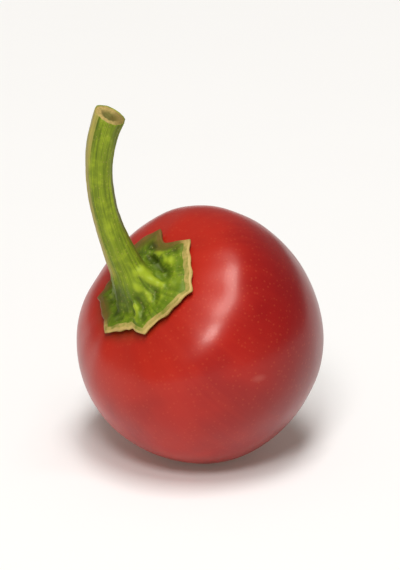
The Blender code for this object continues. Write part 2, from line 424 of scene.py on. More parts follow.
def ripple(points, wavelength, seed):
    """Smooth noise of about -1 to 1: the scaled sum of cosines along random directions.

    Each wave is the cosine of a full turn per wavelength along its direction, plus a random
    phase, and the wavelengths spread by a third each way.
    """
    draw = np.random.default_rng(seed)
    heading = draw.normal(size=(RIPPLE_WAVES, 3))
    heading /= np.linalg.norm(heading, axis=1, keepdims=True)
    stretch = draw.uniform(*RIPPLE_RATES, RIPPLE_WAVES) / wavelength
    phase = draw.uniform(0.0, TURN, RIPPLE_WAVES)
    total = np.zeros(points.shape[:-1])
    for way, rate, start in zip(heading, stretch, phase):
        total += np.cos(TURN * rate * (points @ way) + start)
    return total * math.sqrt(2.0 / RIPPLE_WAVES) / RIPPLE_PEAK


def spherical(radius, polar, azimuth):
    """Points at a radius, polar angle and azimuth, with the coordinates on the last axis."""
    radius, polar, azimuth = np.broadcast_arrays(radius, polar, azimuth)
    across = radius * np.sin(polar)
    return np.stack((across * np.cos(azimuth), across * np.sin(azimuth), radius * np.cos(polar)), axis=-1)


def outward_normals(points):
    """Unit normals of a grid of rows and closed columns: the column step crossed with the row step."""
    along_columns = np.roll(points, -1, axis=1) - np.roll(points, 1, axis=1)
    along_rows = np.gradient(points, axis=0)
    normals = np.cross(along_columns, along_rows)
    return normals / np.maximum(np.linalg.norm(normals, axis=-1, keepdims=True), 1e-12)


def shoulder_relief(shape, polar, azimuth):
    """Height of the shoulder's ridge less the depth of its flatter face.

    The ridge is a bell curve of the polar angle, and fades round the fruit as half of one
    plus the cosine of the azimuth from the face. The face is a bell curve of both angles.
    """
    aside = (azimuth - FACE_AZIMUTH + math.pi) % TURN - math.pi
    crest = np.exp(-(((polar - RIDGE_POLAR) / RIDGE_SPREAD) ** 2))
    ridge = shape.ridge_height * crest * (0.5 + 0.5 * np.cos(aside))
    face = np.exp(-((aside / FACE_SPAN) ** 2) - ((polar - FACE_POLAR) / FACE_REACH) ** 2)
    return ridge - shape.face_depth * face


def skin_radius(shape, polar, azimuth):
    """Distance of the skin from the fruit's centre.

    A ball, less a flattening that fades away from the stem end, less the two hollows at the
    ends, all times one plus the lobes, which are cosines of the azimuth.
    """
    flattening = shape.flattening * np.exp(-((polar / SHOULDER_SPREAD) ** SHOULDER_SHARPNESS))
    well = shape.well_depth * np.exp(-((polar / STEM_WELL_SPREAD) ** 2))
    dimple = BLOSSOM_DIMPLE_DEPTH * np.exp(-(((math.pi - polar) / BLOSSOM_DIMPLE_SPREAD) ** 2))
    lobes = sum(height * np.cos(count * (azimuth - turn)) for count, height, turn in LOBES)
    body = (shape.radius * (1.0 - flattening) - well - dimple) * (1.0 + lobes * np.sin(polar) ** 2)
    return body + shoulder_relief(shape, polar, azimuth)


def leaned(points):
    """Points turned from the fruit's own frame to upright, still about the fruit's centre."""
    turn = np.array(Euler((0.0, LEAN, LEAN_HEADING)).to_matrix())
    return points @ turn.T


def fruit_grid(shape):
    """The skin's grid from the blossom end to the stem end, with the angles of its rows and columns.

    Along its normals it has smooth waves, creases that are cosines of the azimuth and fade at
    both ends of their band, and the blossom scar, a bell curve.
    """
    polar = np.linspace(math.pi, 0.0, FRUIT_ROWS + 2)[1:-1, None]
    azimuth = np.linspace(0.0, TURN, FRUIT_COLUMNS, endpoint=False)[None, :]
    rings = spherical(skin_radius(shape, polar, azimuth), polar, azimuth)
    waves = sum(height * ripple(rings, length, seed) for height, length, seed in SKIN_WAVES)
    band = smooth_step(*CREASE_STEP_UP, polar) * (1.0 - smooth_step(*CREASE_STEP_DOWN, polar))
    creases = sum(share * np.cos(count * azimuth + phase) for count, share, phase in CREASES)
    scar = SCAR_HEIGHT * np.exp(-(((math.pi - polar) / SCAR_SPREAD) ** 2))
    relief = waves + CREASE_HEIGHT * band * creases + scar
    return rings + relief[..., None] * outward_normals(rings), polar, azimuth


def frame_shift(points):
    """How far the leaned skin moves so that its box meets the box of the solid fruit."""
    low, high = (np.array(corner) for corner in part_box("fruit"))
    flat = points.reshape(-1, 3)
    mine_low, mine_high = flat.min(axis=0), flat.max(axis=0)
    shift = (low + high - mine_low - mine_high) / 2.0
    shift[2] = high[2] - mine_high[2]
    return shift


def on_floor(points):
    """Press the lowest skin to the floor: z becomes half of z plus the root of z^2 + softness^2."""
    pressed = points.copy()
    height = pressed[..., 2]
    pressed[..., 2] = 0.5 * (height + np.sqrt(height**2 + CONTACT_SOFTNESS**2))
    return pressed


def ribs(phase):
    """Rib height round the calyx as a share: a full rib to each tooth, a half rib between."""
    main = (0.5 + 0.5 * np.cos(TURN * phase)) ** 2
    between = (0.5 - 0.5 * np.cos(TURN * phase)) ** 2
    return main + 0.5 * between


def calyx_columns():
    """Azimuth, rim polar angle and tooth phase of each column of the stem and calyx.

    The phase is a whole number at a tooth. Between two teeth the rim is the straight line
    through their tips, drawn with the polar angle as the distance from the middle, then
    bowed by a half sine and frilled by small sines. Each tip stands out further by a bell
    curve, and one nick is cut in.
    """
    phase = np.arange(len(TEETH) * COLUMNS_PER_TOOTH) / COLUMNS_PER_TOOTH
    index = phase.astype(int)
    share = phase - index
    first_azimuth, first_reach, first_bow = TEETH[0]
    closed = (*TEETH, (first_azimuth + TURN, first_reach, first_bow))
    tip_azimuth, tip_reach, bow = np.array(closed).T
    start, end = tip_azimuth[index], tip_azimuth[index + 1]
    near, far = tip_reach[index], tip_reach[index + 1]
    azimuth = start + (end - start) * share
    chord = near * far * np.sin(end - start) / (near * np.sin(azimuth - start) + far * np.sin(end - azimuth))
    bowed = chord * (1.0 + bow[index] * np.sin(math.pi * share))
    spur = TOOTH_SPUR * np.exp(-((np.minimum(share, 1.0 - share) / SPUR_WIDTH) ** 2))
    frill = FRILL_HEIGHT * sum(size * np.sin(count * azimuth + turn) for count, size, turn in FRILLS)
    nick = NICK_DEPTH * np.exp(-(((azimuth - NICK_AZIMUTH) / NICK_WIDTH) ** 2))
    return azimuth, bowed + spur + frill - nick, phase


def stem_ring(share, radius, azimuth):
    """Points at a radius round the stem's centre line, at a share of its path, and its run.

    The centre line is the cubic curve through its control points. The ring's own Y axis is
    the fruit's Y axis, turned square to the curve.
    """
    share = share[:, None]
    start, first, second, end = STEM_PATH
    rest = 1.0 - share
    centre = rest**3 * start + 3 * rest**2 * share * first + 3 * rest * share**2 * second + share**3 * end
    run = rest**2 * (first - start) + 2 * rest * share * (second - first) + share**2 * (end - second)
    run = run / np.linalg.norm(run, axis=1, keepdims=True)
    side = np.array((0.0, 1.0, 0.0)) - run[:, 1:2] * run
    side = side / np.linalg.norm(side, axis=1, keepdims=True)
    front = np.cross(side, run)
    turn_cos, turn_sin = np.cos(azimuth)[None, :, None], np.sin(azimuth)[None, :, None]
    around = turn_cos * front[:, None, :] + turn_sin * side[:, None, :]
    return centre[:, None, :] + radius[..., None] * around, run


def calyx_underside(shape, azimuth, rim):
    """Rows from the middle out to the rim, at a small gap to the skin that opens at the rim."""
    share = np.linspace(0.0, 1.0, UNDERSIDE_ROWS + 1)[1:, None]
    polar = share * rim
    gap = CALYX_GAP + RIM_LIFT * smooth_step(*LIFT_STEP, share)
    return spherical(skin_radius(shape, polar, azimuth) + gap, polar, azimuth)


def calyx_rim(shape, thickness, azimuth, rim):
    """Rows round the rim's edge: two quarter ellipses, the upper one drawn further in."""
    angle = np.linspace(-0.5 * math.pi, 0.5 * math.pi, RIM_ROWS + 2)[1:-1, None]
    inward = np.where(angle > 0.0, RIM_BULGE + RIM_CROWN, RIM_BULGE)
    polar = rim + RIM_BULGE - inward * (1.0 - np.cos(angle))
    lift = CALYX_GAP + RIM_LIFT + 0.5 * thickness * (1.0 + np.sin(angle))
    return spherical(skin_radius(shape, polar, azimuth) + lift, polar, azimuth)


def calyx_flare(shape, look, azimuth, rim, phase):
    """Rows from the rim up the ribbed top of the calyx to the foot of the stem.

    A row's share runs from 0 at the rim to 1 at the stem. The reach narrows as a power of
    (1 - share), the height rises as the cube of the share, and the rows turn by a smooth
    step from the fruit's axis to the stem's own centre line.
    """
    share = np.linspace(0.0, 1.0, FLARE_ROWS)[:, None]
    narrowing = (1.0 - share) ** FLARE_NARROWING
    polar = rim * narrowing
    dish = CALYX_HOLLOW * np.sin(math.pi * np.minimum(share / HOLLOW_END, 1.0))
    rise = look.rib_height * ribs(phase) * np.sin(math.pi * share**RIB_SKEW)
    lift = CALYX_GAP + RIM_LIFT + look.thickness - dish + rise
    level = spherical(skin_radius(shape, polar, azimuth) + lift, polar, azimuth)
    level[..., 2] += FLARE_RISE * share**3
    foot = STEM_RADII[0][1] * MM
    reach = skin_radius(shape, rim, azimuth) * np.sin(rim)
    radius = foot + (reach - foot) * narrowing + RIDGE_HEIGHT * ribs(phase)
    level[..., 0] = radius * np.cos(azimuth)
    level[..., 1] = radius * np.sin(azimuth)
    swept, _ = stem_ring(FLARE_END * share[:, 0], radius, azimuth)
    turn = smooth_step(*TURN_STEP, share)[..., None]
    return (1.0 - turn) * level + turn * swept


def round_tissue(share, azimuth, pitch):
    """Places round a circle of radius 1 and along it, for noise that is drawn out lengthwise."""
    circle = spherical(1.0, math.pi / 2.0, azimuth)[None] * np.ones((len(share), 1, 1))
    circle[..., 2] = pitch * share
    return circle


def calyx_pleats(flesh, share, azimuth):
    """Height of the calyx's pleats, about -1 to 1.

    They are noise drawn out from the rim to the stem, with rounder wrinkles over them.
    """
    pleats = ripple(round_tissue(share, azimuth, PLEAT_PITCH), *PLEATS)
    wrinkles = ripple(flesh, *WRINKLES) + FINE_WRINKLE_SHARE * ripple(flesh, *FINE_WRINKLES)
    envelope = smooth_step(*PLEAT_STEP_UP, share) * (1.0 - PLEAT_LOSS * smooth_step(*PLEAT_STEP_DOWN, share))
    return envelope * (PLEAT_SHARE * pleats + WRINKLE_SHARE * wrinkles)


def chart(polar, azimuth):
    """Places on a flat chart of the fruit's stem end, as far from its middle as the polar angle."""
    return np.stack((polar * np.cos(azimuth), polar * np.sin(azimuth)), axis=-1)


def calyx_folds(flesh, share):
    """Height of the calyx's folds, 0 at its rim and on the stem.

    Each fold is a bell curve of the distance from its line on the flat chart, and loses a
    third of its height along the line.
    """
    polar = np.arctan2(np.hypot(flesh[..., 0], flesh[..., 1]), flesh[..., 2])
    place = chart(polar, np.arctan2(flesh[..., 1], flesh[..., 0]))
    total = np.zeros(polar.shape)
    for *line, width, height in FOLDS:
        start_azimuth, start_polar, end_azimuth, end_polar = np.array(line) * DEG
        start = chart(start_polar, start_azimuth)
        way = chart(end_polar, end_azimuth) - start
        along = np.clip((place - start) @ way / (way @ way), 0.0, 1.0)
        distance = np.linalg.norm(place - start - along[..., None] * way, axis=-1)
        total += height * (1.0 - FOLD_LOSS * along) * np.exp(-((distance / (width * DEG)) ** 2))
    return total * smooth_step(*FOLD_STEP_UP, share) * (1.0 - smooth_step(*FOLD_STEP_DOWN, share))


def stem_lines(share, along, azimuth):
    """Height of the stem's fine long ridges, about -1 to 1, from the calyx's top to the tip."""
    tissue = round_tissue(along + LINES_ON_FLARE * share, azimuth, LINE_PITCH)
    lines = ripple(tissue, *LINES) + FINE_LINE_SHARE * ripple(tissue, *FINE_LINES)
    return smooth_step(*LINE_STEP, share) * lines


def stem_rows(azimuth, phase):
    """Rows along the ridged stem, the last ones sheared into the plane of the cut."""
    share = np.linspace(FLARE_END, 1.0, STEM_ROWS + 1)[1:]
    where, size = np.array(STEM_RADII).T
    radius = np.interp(share, where, size * MM)[:, None] + RIDGE_HEIGHT * ribs(phase)[None, :]
    rows, run = stem_ring(share, radius, azimuth)
    lean = radius * np.cos(azimuth - CUT_TILT_AZIMUTH) * math.tan(CUT_TILT)
    lean = lean * smooth_step(1.0 - CUT_TAPER, 1.0, share)[:, None]
    return rows - lean[..., None] * run[:, None, :]


def cut_rows(edge):
    """Rows from the stem's cut edge to the middle of the cut, and that middle.

    The depth below the edge is small over the outer tissue, nearly nothing on the ring of
    strands at three quarters of the radius, and deepest in the pith.
    """
    share = np.linspace(1.0, 0.0, CUT_ROWS + 1)[1:-1, None]
    middle = edge.mean(axis=0)
    across = edge - middle
    inward = -np.cross(across[0], across[len(across) // 4])
    inward = inward / np.linalg.norm(inward)
    rows = middle + share[..., None] * across[None]
    pith = PITH_DEPTH * (1.0 - smooth_step(*PITH_STEP, share))
    inside = 1.0 - smooth_step(*CORTEX_STEP_DOWN, share)
    cortex = CORTEX_DEPTH * smooth_step(*CORTEX_STEP_UP, share) * inside
    rough = CUT_GRAIN_HEIGHT * ripple(rows, *CUT_GRAIN) * inside
    rows = rows + (pith + cortex + rough)[..., None] * inward
    return rows, middle + PITH_DEPTH * inward


def closed_mesh(name, first_pole, rings, last_pole):
    """A mesh through a grid of rows and closed columns, with a fan of triangles to each pole."""
    rows, columns = rings.shape[:2]
    first, last = np.reshape(first_pole, (1, 3)), np.reshape(last_pole, (1, 3))
    points = np.concatenate((first, rings.reshape(-1, 3), last))
    here = 1 + np.arange(columns)
    following = 1 + (np.arange(columns) + 1) % columns
    starts = (np.arange(rows - 1) * columns)[:, None]
    ends = starts + columns
    quads = np.stack((here + starts, following + starts, following + ends, here + ends), axis=-1)
    top = (rows - 1) * columns
    first_fan = np.stack((np.zeros(columns, int), following, here), axis=-1)
    last_fan = np.stack((here + top, following + top, np.full(columns, len(points) - 1)), axis=-1)
    corners = np.concatenate((first_fan.ravel(), quads.ravel(), last_fan.ravel()))
    sizes = np.concatenate((np.full(columns, 3), np.full(quads.size // 4, 4), np.full(columns, 3)))
    mesh = bpy.data.meshes.new(name)
    mesh.vertices.add(len(points))
    mesh.vertices.foreach_set("co", points.ravel())
    mesh.loops.add(len(corners))
    mesh.loops.foreach_set("vertex_index", corners)
    mesh.polygons.add(len(sizes))
    mesh.polygons.foreach_set("loop_start", np.concatenate(((0,), np.cumsum(sizes)[:-1])))
    mesh.update(calc_edges=True)
    mesh.validate()
    mesh.shade_smooth()
    return mesh


def store(mesh, name, grid, first, last):
    """Keep a number or a vector for each point, as an attribute that materials read."""
    vector = grid.ndim == 3
    width = 3 if vector else 1
    parts = (np.reshape(first, (1, width)), grid.reshape(-1, width), np.reshape(last, (1, width)))
    attribute = mesh.attributes.new(name, "FLOAT_VECTOR" if vector else "FLOAT", "POINT")
    attribute.data.foreach_set("vector" if vector else "value", np.concatenate(parts).ravel())


def add_piece(mesh, material, node):
    """Link the piece, let it ride on the only body, and let it stand for its solid."""
    mesh.materials.append(material)
    piece = bpy.data.objects.new(mesh.name, mesh)
    bpy.context.scene.collection.objects.link(piece)
    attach(piece, "root")
    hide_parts(node)


class Shade:
    """A number or a colour among the nodes, on which sums can be written as they are read."""

    def __init__(self, paint, socket):
        self.paint = paint
        self.socket = socket

    def __add__(self, other):
        return self.paint.maths("ADD", self, other)

    __radd__ = __add__

    def __mul__(self, other):
        return self.paint.maths("MULTIPLY", self, other)

    __rmul__ = __mul__

    def __sub__(self, other):
        return self.paint.maths("SUBTRACT", self, other)

    def __rsub__(self, other):
        return self.paint.maths("SUBTRACT", other, self)

    def __pow__(self, other):
        return self.paint.maths("POWER", self, other)


class Paint:
    """The nodes of one material, or of the room, and the shader that they feed."""

    def __init__(self, owner, shader="Principled BSDF"):
        owner.use_nodes = True
        self.owner = owner
        self.tree = owner.node_tree
        self.shader = self.tree.nodes[shader]

    def node(self, kind, settings=None, inputs=None, output=0):
        """Add a node: its settings first, then its sockets' values or links. Returns an output."""
        made = self.tree.nodes.new(kind)
        for name, value in (settings or {}).items():
            setattr(made, name, value)
        for name, value in (inputs or {}).items():
            self.feed(made.inputs[name], value)
        return Shade(self, made.outputs[output])

    def feed(self, socket, value):
        """Link a shade to a socket, or set the socket's own value."""
        if isinstance(value, Shade):
            self.tree.links.new(value.socket, socket)
        elif isinstance(value, (int, float)):
            socket.default_value = value
        else:
            socket.default_value = (*value[:3], 1.0) if len(socket.default_value) == 4 else tuple(value)

    def maths(self, operation, first, second):
        return self.node("ShaderNodeMath", {"operation": operation}, {0: first, 1: second})

    def rise(self, value, low, high):
        """A smooth step from 0 at low to 1 at high. low may be the larger."""
        if low > high:
            return 1.0 - self.rise(value, high, low)
        steps = {"Value": value, "From Min": low, "From Max": high}
        return self.node("ShaderNodeMapRange", {"interpolation_type": "SMOOTHSTEP"}, steps)

    def blend(self, factor, first, second):
        """The first colour, turning to the second as the factor rises."""
        colours = {0: factor, 6: first, 7: second}
        return self.node("ShaderNodeMix", {"data_type": "RGBA", "clamp_factor": True}, colours, output=2)

    def place(self, output="Object"):
        """The point's own place on the piece in metres, or the room's direction from Generated."""
        return self.node("ShaderNodeTexCoord", output=output)

    def attribute(self, name, output="Fac"):
        return self.node("ShaderNodeAttribute", {"attribute_name": name}, output=output)

    def vectors(self, operation, first, second, output=0):
        return self.node("ShaderNodeVectorMath", {"operation": operation}, {0: first, 1: second}, output)

    def stretch(self, vector, scale):
        return self.vectors("MULTIPLY", vector, scale)

    def part(self, vector, axis):
        return self.node("ShaderNodeSeparateXYZ", inputs={0: vector}, output=axis)

    def cloud(self, vector, scale, detail=3.0, rough=0.55):
        """Soft noise from 0 to 1."""
        values = {"Vector": vector, "Scale": scale, "Detail": detail, "Roughness": rough}
        return self.node("ShaderNodeTexNoise", inputs=values)

    def cells(self, vector, scale):
        """Distance to the nearest of scattered points, in cell widths."""
        return self.node("ShaderNodeTexVoronoi", inputs={"Vector": vector, "Scale": scale})

    def towards(self, vector, azimuth):
        """How far a vector points along an azimuth: 1 when its first two parts lie on it."""
        way = (math.cos(azimuth), math.sin(azimuth), 0.0)
        return self.vectors("DOT_PRODUCT", vector, way, output="Value")

    def distance(self, vector, point):
        """Distance in metres from a point of the piece."""
        return self.vectors("DISTANCE", vector, point, output="Value")

    def bump(self, height, depth, strength):
        """A normal from a height of 0 to 1 that stands for a depth in metres."""
        return self.node("ShaderNodeBump", inputs={"Strength": strength, "Distance": depth, "Height": height})

    def finish(self, **values):
        """Feed the shader, with spaces for the underscores of its sockets' names."""
        for name, value in values.items():
            self.feed(self.shader.inputs[name.replace("_", " ")], value)
        return self.owner


def skin_material(look):
    """Waxy ripe skin: soft patches of deeper red, faint streaks from end to end, fine specks, painted
    shade on one side, and a greenish tint and painted shade round the calyx.
    """
    paint = Paint(bpy.data.materials.new("fruit_skin"))
    place = paint.place()
    grain = paint.attribute("grain", "Vector")
    polar = paint.part(grain, "Z")
    patches = paint.rise(paint.cloud(place, scale=85.0, detail=3.0, rough=0.5), 0.38, 0.68)
    tissue = paint.stretch(grain, (7.0, 7.0, 0.55))
    streaks = paint.rise(paint.cloud(tissue, scale=2.4, detail=4.0, rough=0.6), 0.42, 0.72)
    red = paint.blend(0.75 * patches, look.ripe, look.deep)
    red = paint.blend(0.22 * streaks, red, look.warm)
    red = paint.blend(0.45 * paint.rise(polar, *SHOULDER_STEP), red, look.warm)
    # Painted shade: the skin turns darker red towards +X
    red = paint.blend(0.88 * paint.rise(paint.part(place, "X"), *SHADED_STEP), red, look.shaded)
    speck = paint.rise(paint.cells(place, scale=1500.0), 0.30, 0.12)
    red = paint.blend(0.10 * speck, red, SPECK_ORANGE)
    # A small paler pink patch on the skin
    pale_patch = paint.rise(paint.distance(paint.stretch(place, PALE_PATCH_STRETCH), PALE_PATCH_PLACE), *PALE_PATCH_STEP)
    red = paint.blend(0.26 * pale_patch, red, PALE_PATCH_PINK)
    scar = paint.rise(polar, *SCAR_STEP)
    red = paint.blend(0.85 * scar, red, SCAR_BROWN)
    # A greenish tint and painted shade on the skin round the calyx
    red = paint.blend(0.5 * paint.rise(polar, *UNDER_CALYX_STEP), red, UNDER_CALYX_TINT_AND_SHADE)
    wax = paint.cloud(place, scale=240.0, detail=4.0, rough=0.6)
    peel = paint.cloud(place, scale=900.0, detail=2.0, rough=0.5)
    fine_peel = paint.cloud(place, scale=3600.0, detail=2.0, rough=0.5)
    return paint.finish(
        Base_Color=red,
        Roughness=0.25 + 0.10 * wax + 0.35 * scar,
        IOR=1.44,
        Specular_Tint=(1.0, 0.80, 0.72),
        Coat_Weight=0.06,
        Coat_Tint=(1.0, 0.90, 0.86),
        Coat_Roughness=0.12,
        Normal=paint.bump(peel + 0.35 * fine_peel, depth=0.02 * MM, strength=0.35),
    )


def fleshy_green(paint, look, reach, grain, mottle, streaks):
    """Living green of stem and calyx: ribs and ridges painted lighter as if lit, hollows painted
    darker as shade, a pale seam on one side and painted shade on the other.
    """
    relief = paint.attribute("relief")
    stem = paint.blend(0.8 * paint.rise(mottle, 0.42, 0.75), look.leaf, look.bright)
    stem = paint.blend(0.50 * paint.rise(streaks, 0.47, 0.72), stem, look.bright)
    # Painted light on the stem's ribs
    stem = paint.blend(0.30 * paint.attribute("rib"), stem, look.bright)
    calyx = paint.blend(0.35 * paint.rise(mottle, 0.45, 0.75), look.flesh, look.bright)
    green = paint.blend(paint.rise(reach, 0.10, 0.40), stem, calyx)
    green = paint.blend(0.6 * paint.rise(streaks, 0.50, 0.30), green, look.dark)
    # Painted shade where the relief is low and painted light where it is high
    green = paint.blend(0.85 * paint.rise(relief, 0.05, -1.15), green, look.dark)
    green = paint.blend(0.85 * paint.rise(relief, 0.20, 1.50), green, look.bright)
    fleck = paint.rise(paint.cells(paint.place(), scale=1900.0), 0.28, 0.10)
    green = paint.blend(0.25 * fleck, green, look.pale)
    seam = paint.rise(paint.towards(grain, SEAM_AZIMUTH) + 0.30 * (streaks - 0.5), 0.82, 0.97)
    green = paint.blend(0.60 * seam * paint.rise(reach, 0.15, 0.0), green, look.pale)
    # Painted shade on the stem's far side, fading out on the calyx
    shaded = paint.rise(paint.towards(grain, SHADED_AZIMUTH) + 0.10 * (mottle - 0.5), 0.86, 0.97)
    return paint.blend(0.60 * shaded * paint.rise(reach, 0.3, 0.0), green, SHADED_OLIVE)


def dried_rim(paint, look, green, reach, grain, mottle):
    """The calyx's edge and underside laid over its green: a pale crust on one side, brown on the
    other, and a dark brown underside that is partly painted shade.
    """
    edge = paint.attribute("edge")
    pale_side = paint.rise(paint.towards(grain, PALE_RIM_AZIMUTH) + 0.4 * (mottle - 0.5), -0.10, 0.25)
    green = paint.blend(0.75 * paint.rise(reach, 0.80, 0.98) * (1.0 - pale_side), green, EDGE_BROWN)
    rim = paint.rise(edge + 0.80 * (mottle - 0.5), 0.35, 0.80)
    scabs = paint.rise(paint.cloud(paint.place(), scale=450.0), 0.44, 0.66)
    crust = paint.blend(0.7 * scabs, look.pale, CRUST_BROWN)
    green = paint.blend(rim * (0.70 + 0.30 * pale_side), green, paint.blend(pale_side, RIM_BROWN, crust))
    # The underside and lower lip painted dark brown, partly as shade
    return paint.blend(0.85 * paint.attribute("underside"), green, UNDERSIDE_BROWN_AND_SHADE)


def dried_cut(paint, look, green, cut, grain):
    """The stem's cut end laid over its green: tan strands, an olive pith and painted shade on the far side.
    """
    face = paint.cloud(paint.place(), scale=2600.0, detail=4.0, rough=0.65)
    dried = paint.blend(paint.rise(face, 0.35, 0.65), look.cut, look.pale)
    dried = paint.blend(0.85 * paint.rise(cut + 0.30 * (face - 0.5), 0.34, 0.66), dried, PITH_OLIVE)
    # Painted shade on the far side of the cut end
    dried = paint.blend(0.60 * paint.rise(paint.towards(grain, SHADED_AZIMUTH), 0.1, 0.9), dried, CUT_PAINTED_SHADE)
    return paint.blend(paint.rise(cut, 0.02, 0.10), green, dried)


def green_material(look):
    """Calyx and stem: fleshy green, ribs painted lighter as if lit, hollows painted darker as shade,
    a pale rim and a dried cut.
    """
    paint = Paint(bpy.data.materials.new("stem_green"))
    grain = paint.attribute("grain", "Vector")
    reach = paint.attribute("calyx_reach")
    cut = paint.attribute("cut")
    mottle = paint.cloud(paint.place(), scale=650.0, detail=5.0, rough=0.62)
    streaks = paint.cloud(paint.stretch(grain, (9.0, 9.0, 0.35)), scale=1.6, detail=5.0, rough=0.6)
    green = fleshy_green(paint, look, reach, grain, mottle, streaks)
    green = dried_rim(paint, look, green, reach, grain, mottle)
    pores = paint.cloud(paint.place(), scale=2400.0, detail=3.0, rough=0.6)
    threads = paint.cloud(paint.stretch(grain, (16.0, 16.0, 0.6)), scale=2.0)
    return paint.finish(
        Base_Color=dried_cut(paint, look, green, cut, grain),
        Roughness=0.40 + 0.20 * mottle + 0.25 * paint.rise(cut, 0.0, 0.1),
        IOR=1.38,
        Specular_Tint=(1.0, 0.98, 0.60),
        Coat_Weight=0.03,
        Coat_Roughness=0.25,
        Normal=paint.bump(pores + 0.8 * threads, depth=0.06 * MM, strength=0.5),
    )


def floor_material(look):
    """A pale matt floor with the faintest mottling, and a faint warm glow that lightens shadows."""
    paint = Paint(bpy.data.materials.new("floor"))
    mottle = paint.cloud(paint.place(), scale=40.0, detail=4.0, rough=0.6)
    return paint.finish(
        Base_Color=paint.blend(mottle, look.floor, tuple(FLOOR_MOTTLE * channel for channel in look.floor)),
        Roughness=0.75,
        Emission_Color=FLOOR_GLOW,
        Emission_Strength=FLOOR_GLOW_STRENGTH,
    )


class PEPPER_OT_fruit(bpy.types.Operator):
    """Build the fruit's skin"""

    bl_idname = "pepper.fruit"
    bl_label = "Fruit"

    def execute(self, context):
        shape = context.scene.pepper_fruit
        rings, polar, azimuth = fruit_grid(shape)
        shift = frame_shift(leaned(rings))
        blossom_end = (0.0, 0.0, -skin_radius(shape, math.pi, 0.0))
        stem_end = (0.0, 0.0, skin_radius(shape, 0.0, 0.0))
        first, last = leaned(np.array((blossom_end, stem_end))) + shift
        mesh = closed_mesh("fruit_skin", first, on_floor(leaned(rings) + shift), last)
        grain = spherical(1.0, math.pi / 2.0, azimuth) + np.zeros((*polar.shape, 1))
        grain[..., 2] = polar
        store(mesh, "grain", grain, (0.0, 0.0, math.pi), (0.0, 0.0, 0.0))
        add_piece(mesh, skin_material(shape), "fruit")
        return {"FINISHED"}


class PEPPER_OT_stem_and_calyx(bpy.types.Operator):
    """Build the calyx and the stem as one surface"""

    bl_idname = "pepper.stem_and_calyx"
    bl_label = "Stem and Calyx"

    def execute(self, context):
        shape = context.scene.pepper_fruit
        look = context.scene.pepper_stem
        azimuth, rim, phase = calyx_columns()
        bands = (
            calyx_underside(shape, azimuth, rim),
            calyx_rim(shape, look.thickness, azimuth, rim),
            calyx_flare(shape, look, azimuth, rim - RIM_CROWN, phase),
            stem_rows(azimuth, phase),
        )
        counts = [len(band) for band in bands]
        flesh, relief = self.crinkled(np.concatenate(bands), counts, azimuth)
        face, middle = cut_rows(flesh[-1])
        rings = np.concatenate((flesh, face))
        shift = frame_shift(leaned(fruit_grid(shape)[0]))
        foot = (0.0, 0.0, skin_radius(shape, 0.0, 0.0) + CALYX_GAP)
        first, last = leaned(np.array((foot, middle))) + shift
        mesh = closed_mesh("stem_and_calyx_green", first, leaned(rings) + shift, last)
        self.store_guides(mesh, counts, azimuth, phase, relief)
        add_piece(mesh, green_material(look), "stem_and_calyx")
        return {"FINISHED"}

    def crinkled(self, flesh, counts, azimuth):
        """Push the surface in and out along its normals. Returns it with its relief, which the painted
        light and shade of the colours follow.
        """
        under, lip, flare, stem = counts
        share = np.concatenate((np.zeros(under + lip), np.linspace(0.0, 1.0, flare), np.ones(stem)))[:, None]
        along = np.concatenate((np.zeros(under + lip + flare), np.linspace(0.0, 1.0, stem)))[:, None]
        pleats = calyx_pleats(flesh, share, azimuth)
        folds = calyx_folds(flesh, share)
        lines = stem_lines(share, along, azimuth)
        near_rim = 1.0 - smooth_step(*RIM_WAVE_STEP, share)
        near_rim[:under] = 0.0
        wave = RIM_WAVE_HEIGHT * near_rim * ripple(flesh, *RIM_WAVE)
        height = PLEAT_HEIGHT * pleats + FOLD_HEIGHT * folds + LINE_HEIGHT * lines + wave
        return flesh + height[..., None] * outward_normals(flesh), pleats + folds + LINE_SHADE * lines

    def store_guides(self, mesh, counts, azimuth, phase, relief):
        """Keep what the material follows: rim, underside, reach, ribs, relief, grain and cut."""
        under, lip, flare, stem = counts
        face = CUT_ROWS - 1
        total = sum(counts) + face
        wide = np.ones((1, len(azimuth)))
        share = np.linspace(0.0, 1.0, flare)
        round_lip = np.linspace(0.0, 1.0, lip)
        tail = np.zeros(stem + face)
        turned = smooth_step(*RIM_TINT_STEP, round_lip)
        crest = turned * (1.0 - CREST_LOSS * smooth_step(*CREST_STEP, round_lip))
        tint = FLARE_TINT * (1.0 - smooth_step(*FLARE_TINT_STEP, share))
        along_stem = GRAIN_ON_FLARE + np.linspace(0.0, 1.0, stem)
        along_face = np.full(face, GRAIN_ON_FLARE + 1.0)
        along = np.concatenate((np.zeros(under + lip), GRAIN_ON_FLARE * share, along_stem, along_face))
        inward = np.linspace(0.0, 1.0, CUT_ROWS + 1)[1:-1]
        guides = (
            ("edge", 0.0, (np.zeros(under), crest, tint, tail), 0.0),
            ("underside", 1.0, (np.ones(under), 1.0 - turned, np.zeros(flare), tail), 0.0),
            ("calyx_reach", 1.0, (np.ones(under + lip), 1.0 - share, tail), 0.0),
            ("cut", 0.0, (np.zeros(total - face), inward), 1.0),
        )
        for name, first, bands, last in guides:
            store(mesh, name, np.concatenate(bands)[:, None] * wide, first, last)
        store(mesh, "rib", np.ones((total, 1)) * ribs(phase), 0.0, 0.0)
        store(mesh, "relief", np.concatenate((relief, np.zeros((face, len(azimuth))))), 0.0, 0.0)
        grain = spherical(1.0, math.pi / 2.0, azimuth)[None] * np.ones((total, 1, 1))
        grain[..., 2] = GRAIN_LENGTH * along[:, None]
        store(mesh, "grain", grain, (0.0, 0.0, 0.0), (0.0, 0.0, GRAIN_LENGTH * along[-1]))


